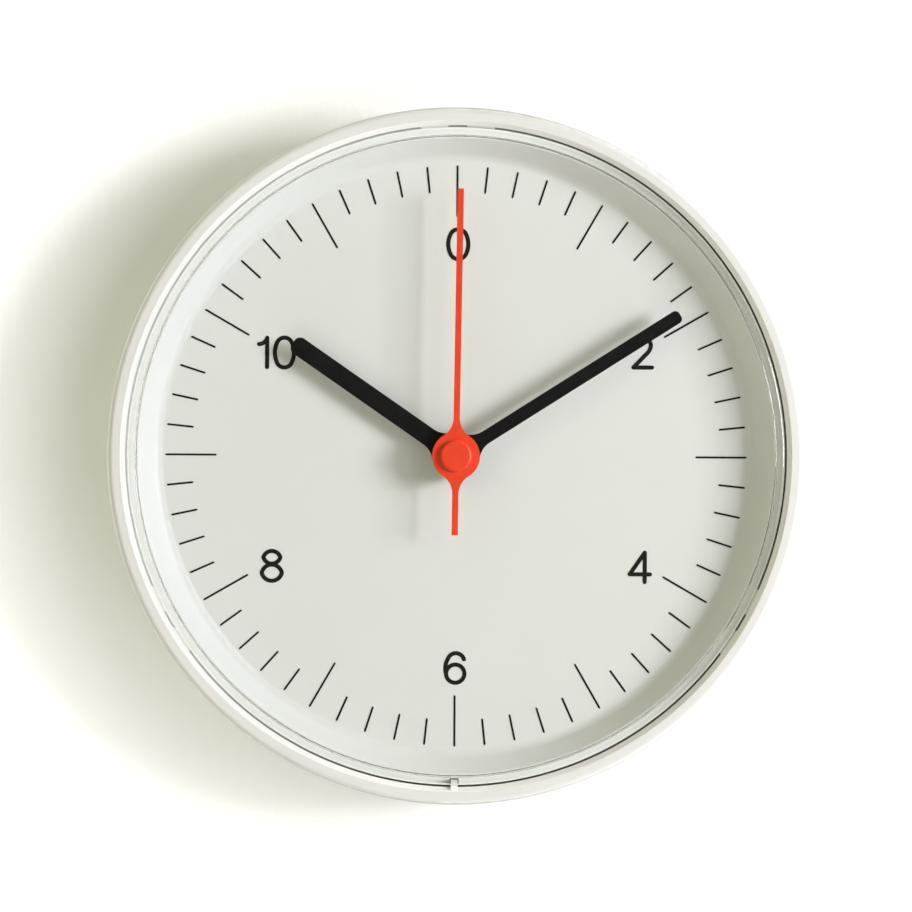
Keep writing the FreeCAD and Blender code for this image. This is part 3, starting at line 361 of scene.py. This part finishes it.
def clear_lens():
    """Clear acrylic. Lamps and bounced light pass straight through it, and sight bends in it."""
    t = Tree("clear_lens")
    smears = t.ramp(t.noise(0.03, 5.0, 0.6), 0.4, 0.8, 0.0, 0.045)
    wave = t.bump(t.noise(0.03, 2.0), 0.00002, 0.3)
    glass = t.surface(
        Base_Color=colour(0.985, 0.99, 0.985),
        Roughness=smears,
        Transmission_Weight=1.0,
        IOR=1.49,
        Normal=wave,
    )
    path = t.nodes.new("ShaderNodeLightPath")
    through = t.math("MAXIMUM", path.outputs["Is Shadow Ray"], path.outputs["Is Diffuse Ray"])
    clear = t.add("ShaderNodeBsdfTransparent", Color=colour(0.965, 0.967, 0.962))
    both = t.nodes.new("ShaderNodeMixShader")
    t.feed(both.inputs[0], through)
    t.links.new(glass.outputs[0], both.inputs[1])
    t.links.new(clear.outputs[0], both.inputs[2])
    t.links.new(both.outputs[0], t.output.inputs["Surface"])
    return t.material


def copper_wire():
    """Enamelled wire, wound in turns along the coil's axis."""
    t = Tree("copper_wire")
    wave = t.add("ShaderNodeTexWave", Scale=2500.0, Distortion=1.5, Detail=1.0)
    wave.bands_direction = "X"
    t.feed(wave.inputs["Vector"], t.where)
    tone = t.mix(wave.outputs["Fac"], colour(0.36, 0.11, 0.04), colour(0.78, 0.32, 0.13))
    normal = t.bump(wave.outputs["Fac"], 0.00008, 0.8)
    t.surface(Base_Color=tone, Metallic=0.85, Roughness=0.33, Normal=normal)
    return t.material


def circuit_laminate():
    """Brown paper laminate with a few copper tracks under the resist."""
    t = Tree("board")
    fibres = t.noise(0.0005, 4.0, 0.7, t.stretched((1.0, 1.0, 0.15)))
    tone = t.mix(t.ramp(fibres, 0.3, 0.7), colour(0.27, 0.17, 0.06), colour(0.36, 0.24, 0.1))
    brick = t.add("ShaderNodeTexVoronoi", Scale=220.0)
    brick.distance = "CHEBYCHEV"
    brick.feature = "F1"
    t.feed(brick.inputs["Vector"], t.where)
    track = t.ramp(brick.outputs["Distance"], 0.42, 0.45)
    tone = t.mix(t.math("MULTIPLY", track, 0.7), tone, colour(0.45, 0.26, 0.1))
    t.surface(Base_Color=tone, Roughness=0.45, Normal=t.bump(track, 0.00003, 0.5))
    return t.material


def battery_sleeve():
    """A dark sleeve with one pale band near its positive end and a fine line beside it."""
    t = Tree("battery_sleeve")
    low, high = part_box("battery_jacket")
    axis = t.nodes.new("ShaderNodeSeparateXYZ")
    t.feed(axis.inputs[0], t.where)
    along = t.ramp(axis.outputs["X"], low.x, high.x)
    band = t.math("GREATER_THAN", along, 0.72)
    line = t.math("LESS_THAN", t.math("ABSOLUTE", t.math("SUBTRACT", along, 0.69)), 0.006)
    scuffs = t.ramp(t.noise(0.002, 5.0, 0.7), 0.62, 0.75)
    dark = t.mix(t.ramp(t.noise(0.01, 3.0), 0.3, 0.7), colour(0.018, 0.03, 0.06), colour(0.03, 0.045, 0.085))
    tone = t.mix(band, dark, colour(0.62, 0.3, 0.08))
    tone = t.mix(line, tone, colour(0.75, 0.74, 0.7))
    tone = t.mix(t.math("MULTIPLY", scuffs, 0.25), tone, colour(0.5, 0.5, 0.48))
    gloss = t.ramp(scuffs, 0.0, 1.0, 0.28, 0.5)
    t.surface(Base_Color=tone, Metallic=0.25, Roughness=gloss, Coat_Weight=0.4)
    return t.material


def make_materials():
    """One material for each material slot of the record."""
    white = colour(0.76, 0.757, 0.76)
    dial = colour(0.775, 0.785, 0.79)
    return {
        # white_plastic and the dial's material also carry painted light and shade on their sloped rings and
        # painted shade in the gap round the lens
        "white_plastic": moulded("white_plastic", white, 0.36, coat=0.08, slope_shading=CASE_SLOPE_SHADING),
        "dial_paint_and_shade": moulded("dial_paint_and_shade", dial, 0.5, 0.0003, 0.000006, shift=0.015, slope_shading=DISH_SLOPE_SHADING),
        "clear_lens": clear_lens(),
        "black_print": printed("black_print", colour(0.006, 0.006, 0.005)),
        "black_hand": lacquered("black_hand", colour(0.005, 0.005, 0.005), 0.38, 0.2),
        "red_hand": lacquered("red_hand", colour(0.86, 0.06, 0.022), 0.42, 0.35),
        "housing_plastic": moulded("housing_plastic", colour(0.018, 0.018, 0.019), 0.45, 0.0005, 0.00003),
        "screw_steel": metal("screw_steel", colour(0.62, 0.61, 0.58), 0.32),
        "plate_plastic": moulded("plate_plastic", colour(0.68, 0.68, 0.64), 0.42),
        "board": circuit_laminate(),
        "epoxy": moulded("epoxy", colour(0.012, 0.012, 0.012), 0.22, 0.0015, 0.00004),
        "nickel": metal("nickel", colour(0.66, 0.63, 0.57), 0.22, (1.0, 1.0, 6.0)),
        "bobbin_plastic": moulded("bobbin_plastic", colour(0.03, 0.16, 0.06), 0.4),
        "copper_wire": copper_wire(),
        "soft_iron": metal("soft_iron", colour(0.38, 0.38, 0.39), 0.4, (0.2, 1.0, 1.0)),
        "rubber": moulded("rubber", colour(0.015, 0.015, 0.015), 0.75, 0.0004, 0.00005),
        "brass": metal("brass", colour(0.72, 0.52, 0.2), 0.26),
        "steel_pin": metal("steel_pin", colour(0.5, 0.5, 0.52), 0.24, (1.0, 8.0, 1.0)),
        "gear_plastic": moulded("gear_plastic", colour(0.72, 0.71, 0.65), 0.38, Subsurface_Weight=0.1),
        "knob_plastic": moulded("knob_plastic", colour(0.5, 0.03, 0.02), 0.32, coat=0.1),
        "battery_sleeve": battery_sleeve(),
    }


def dress(materials):
    """Gives each CAD node the material of its slot. The dial has a material of its own: paint with painted
    light and shade.
    """
    for part in frame["record"]["subparts"]:
        slot = "dial_paint_and_shade" if part["node"] == "dial_dish" else part["material_slot"]
        mesh = frame["nodes"][part["node"]].data
        for index in range(len(mesh.materials)):
            mesh.materials[index] = materials[slot]


# Lens


def arc_points(centre, size, start, end, steps=8):
    """Corners of (radius, level) round part of a circle, between two angles."""
    made = []
    for step in range(steps + 1):
        angle = math.radians(start + (end - start) * step / steps)
        made.append((centre[0] + size * math.cos(angle), centre[1] + size * math.sin(angle)))
    return made


def lens_profile(outer, top):
    """The lens's section from its back to its front, with a step out to the outer radius up to the top."""
    profile = [(LENS_CENTRE, LENS_BACK)]
    profile += arc_points((LENS_BORE - LENS_ROUND, LENS_BACK - LENS_ROUND), LENS_ROUND, 90.0, 0.0)
    seat = FLANGE + LENS_LIFT
    profile += [(LENS_BORE, seat), (outer, seat), (outer, top), (LENS_RADIUS, top)]
    profile += arc_points((LENS_RADIUS - LENS_ROUND, LENS_FRONT - LENS_ROUND), LENS_ROUND, 0.0, 90.0)
    return profile + [(LENS_CENTRE, LENS_FRONT)]


def lens_columns():
    """The section at each bearing; it changes where an ear or the notch starts or ends."""
    plain = (LENS_RADIUS, EAR_TOP)
    steps = []
    for bearing in EAR_BEARINGS:
        for side in (-1, 1):
            middle = (bearing + side * EAR_OFFSET) % 360.0
            steps.append((middle, EAR_HALF_ANGLE, (EAR_RADIUS, EAR_TOP)))
    steps.append((180.0, NOTCH_HALF_ANGLE, (NOTCH_RADIUS, NOTCH_TOP)))
    columns = []
    for n in range(LENS_STEPS):
        bearing = 360.0 * n / LENS_STEPS
        if not any(abs(bearing - middle) <= half for middle, half, section in steps):
            columns.append((bearing, 0, plain))
    for middle, half, section in steps:
        low, high = middle - half, middle + half
        columns += [(low, 0, plain), (high, 2, plain)]
        inner = [low + (high - low) * n / 8 for n in range(9)]
        columns += [(bearing, 1, section) for bearing in inner]
    return sorted(columns)


def lens_mesh():
    columns = lens_columns()
    vertices = []
    for bearing, order, section in columns:
        angle = math.radians(bearing)
        for radius, level in lens_profile(*section):
            vertices.append((radius * MM * math.sin(angle), -level * MM, radius * MM * math.cos(angle)))
    rows = len(lens_profile(LENS_RADIUS, EAR_TOP))
    back = len(vertices)
    vertices += [(0.0, -LENS_BACK * MM, 0.0), (0.0, -LENS_FRONT * MM, 0.0)]
    faces = []
    for n in range(len(columns)):
        here = n * rows
        there = (n + 1) % len(columns) * rows
        for row in range(rows - 1):
            faces.append((here + row, here + row + 1, there + row + 1, there + row))
        faces.append((back, here, there))
        faces.append((back + 1, there + rows - 1, here + rows - 1))
    mesh = bpy.data.meshes.new("lens_turned")
    mesh.from_pydata(vertices, [], faces)
    return mesh


def make_lens(material):
    """The clear lens, turned finely enough for its edge to refract cleanly."""
    mesh = lens_mesh()
    shape = bmesh.new()
    shape.from_mesh(mesh)
    bmesh.ops.remove_doubles(shape, verts=shape.verts, dist=MERGE_DISTANCE)
    bmesh.ops.dissolve_degenerate(shape, dist=MERGE_DISTANCE / 2, edges=shape.edges)
    bmesh.ops.recalc_face_normals(shape, faces=shape.faces)
    shape.to_mesh(mesh)
    shape.free()
    made = turned("lens_turned", mesh, material)
    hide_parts("lens")
    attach(made, "case")


def make_lip(material):
    """A finely turned skin on the upper slope and flange of the dish, so that its lip looks round."""
    inner, outer = LIP_FLAT
    seat = FLANGE + LENS_LIFT / 2
    section = [*LIP_SLOPE, (inner, seat), (outer, seat)]
    section += [(outer, FLANGE - LIP_DEPTHS[0]), (LIP_HIDDEN_EDGE, FLANGE - LIP_DEPTHS[1])]
    vertices = []
    for n in range(LENS_STEPS):
        angle = 2 * math.pi * n / LENS_STEPS
        for radius, level in section:
            vertices.append((radius * MM * math.sin(angle), -level * MM, radius * MM * math.cos(angle)))
    rows = len(section)
    faces = []
    for n in range(LENS_STEPS):
        here = n * rows
        there = (n + 1) % LENS_STEPS * rows
        for row in range(rows):
            after = (row + 1) % rows
            faces.append((here + row, there + row, there + after, here + after))
    mesh = bpy.data.meshes.new("dish_lip")
    mesh.from_pydata(vertices, [], faces)
    made = turned("dish_lip", mesh, material)
    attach(made, "case")


# Stage


def wall_paint_and_glow():
    """White rolled paint with painted light: it glows, fading to bright away from the clock, which lightens
    the clock's shadow on it. It's seen from its front side only.
    """
    t = Tree("wall_paint_and_glow")
    roller = t.noise(0.004, 5.0, 0.6, t.stretched((1.0, 1.0, 0.45)))
    uneven = t.noise(0.05, 3.0)
    tone = t.mix(t.ramp(uneven, 0.3, 0.7), colour(0.86, 0.865, 0.87), colour(0.885, 0.89, 0.895))
    shader = t.surface(Base_Color=tone, Roughness=0.7, Normal=t.bump(roller, 0.0006, 0.25))
    spread = t.nodes.new("ShaderNodeVectorMath")
    spread.operation = "LENGTH"
    t.feed(spread.inputs[0], t.stretched(GLOW_STRETCH, GLOW_SHIFT))
    distance = spread.outputs["Value"]
    # painted light: the glow rises away from the clock and fades out far from it
    rise = t.ramp(distance, *GLOW_RADII, *GLOW_STRENGTHS)
    glow = t.math("MULTIPLY", rise, t.ramp(distance, *GLOW_FADE, 1.0, 0.0))
    shader.inputs["Emission Color"].default_value = colour(1.0, 1.0, 1.0)
    t.feed(shader.inputs["Emission Strength"], glow)
    geometry = t.nodes.new("ShaderNodeNewGeometry")
    clear = t.nodes.new("ShaderNodeBsdfTransparent")
    both = t.nodes.new("ShaderNodeMixShader")
    t.feed(both.inputs[0], geometry.outputs["Backfacing"])
    t.links.new(shader.outputs[0], both.inputs[1])
    t.links.new(clear.outputs[0], both.inputs[2])
    t.links.new(both.outputs[0], t.output.inputs["Surface"])
    return t.material


def floor_paint():
    t = Tree("floor_paint")
    tone = t.mix(t.ramp(t.noise(0.2, 4.0), 0.3, 0.7), colour(0.72, 0.715, 0.7), colour(0.76, 0.755, 0.74))
    t.surface(Base_Color=tone, Roughness=0.6, Normal=t.bump(t.noise(0.002), 0.0003, 0.3))
    return t.material


def sheet_of(name, corners, material):
    mesh = bpy.data.meshes.new(name)
    mesh.from_pydata(corners, [], [tuple(range(len(corners)))])
    mesh.materials.append(material)
    made = linked(name, mesh)
    return made


def make_stage():
    half = WALL_SIZE[0] / 2
    low = -FLOOR_DROP
    top = low + WALL_SIZE[1]
    corners = [(-half, WALL_GAP, low), (half, WALL_GAP, low), (half, WALL_GAP, top), (-half, WALL_GAP, top)]
    wall = sheet_of("wall", corners, wall_paint_and_glow())
    wall.visible_shadow = False
    floor = [(-half, -half, low), (half, -half, low), (half, half, low), (-half, half, low)]
    sheet_of("floor", floor, floor_paint())


def towards(bearing, rise):
    """The direction at this bearing round the dial, this far forwards out of the wall's plane."""
    side = math.cos(math.radians(rise))
    angle = math.radians(bearing)
    return Vector((side * math.sin(angle), -math.sin(math.radians(rise)), side * math.cos(angle)))


def soft_light(name, direction, distance, size, power, tint, glossy=True):
    data = bpy.data.lights.new(name, "AREA")
    data.shape = "RECTANGLE"
    data.size, data.size_y = size
    data.energy = power
    data.color = tint
    lamp = linked(name, data)
    lamp.location = direction * distance
    lamp.rotation_euler = (-direction).to_track_quat("-Z", "Y").to_euler()
    lamp.visible_camera = False
    lamp.visible_glossy = glossy


def make_lights():
    neutral = (0.975, 0.985, 1.0)
    warm = (1.0, 0.955, 0.66)
    soft_light("key", towards(82, 30), 2.4, (0.75, 0.7), 59.0, neutral)
    soft_light("window", towards(80, 42), 2.6, (2.0, 1.6), 18.0, neutral)
    soft_light("fill", towards(290, 48), 2.8, (2.4, 2.4), 17.0, warm, glossy=False)
    soft_light("back_light", Vector((0.45, 0.75, 0.5)).normalized(), 2.4, (1.4, 1.4), 32.0, neutral)
    soft_light("back_fill", Vector((-0.7, 0.7, 0.1)).normalized(), 2.4, (1.6, 1.6), 12.0, warm)
    world = bpy.data.worlds.new("studio")
    world.use_nodes = True
    tree = world.node_tree
    background = tree.nodes["Background"]
    background.inputs["Color"].default_value = colour(1.0, 0.965, 0.73)
    axis = tree.nodes.new("ShaderNodeSeparateXYZ")
    tree.links.new(tree.nodes.new("ShaderNodeTexCoord").outputs["Generated"], axis.inputs[0])
    fade = tree.nodes.new("ShaderNodeMapRange")
    fade.inputs["From Min"].default_value = DARK_FADE[0]
    fade.inputs["From Max"].default_value = DARK_FADE[1]
    fade.inputs["To Min"].default_value = DARK_STRENGTH
    fade.inputs["To Max"].default_value = WORLD_STRENGTH
    tree.links.new(axis.outputs["Y"], fade.inputs["Value"])
    tree.links.new(fade.outputs["Result"], background.inputs["Strength"])
    backdrop = tree.nodes.new("ShaderNodeBackground")
    backdrop.inputs["Color"].default_value = colour(0.8, 0.8, 0.79)
    seen = tree.nodes.new("ShaderNodeMixShader")
    path = tree.nodes.new("ShaderNodeLightPath")
    tree.links.new(path.outputs["Is Camera Ray"], seen.inputs[0])
    tree.links.new(background.outputs[0], seen.inputs[1])
    tree.links.new(backdrop.outputs[0], seen.inputs[2])
    tree.links.new(seen.outputs[0], tree.nodes["World Output"].inputs["Surface"])
    bpy.context.scene.world = world


def make_camera():
    data = bpy.data.cameras.new("camera")
    data.lens = LENS_LENGTH
    data.sensor_width = 36.0
    data.clip_end = 50.0
    camera = linked("camera", data)
    camera.location = (0.0, -CAMERA_DISTANCE, 0.0)
    camera.rotation_euler = (math.radians(90), -CAMERA_ROLL, 0.0)
    bpy.context.scene.camera = camera


bpy.context.scene.view_settings.view_transform = "Standard"
materials = make_materials()
dress(materials)
make_lens(materials["clear_lens"])
make_lip(materials["dial_paint_and_shade"])
make_stage()
make_lights()
make_camera()
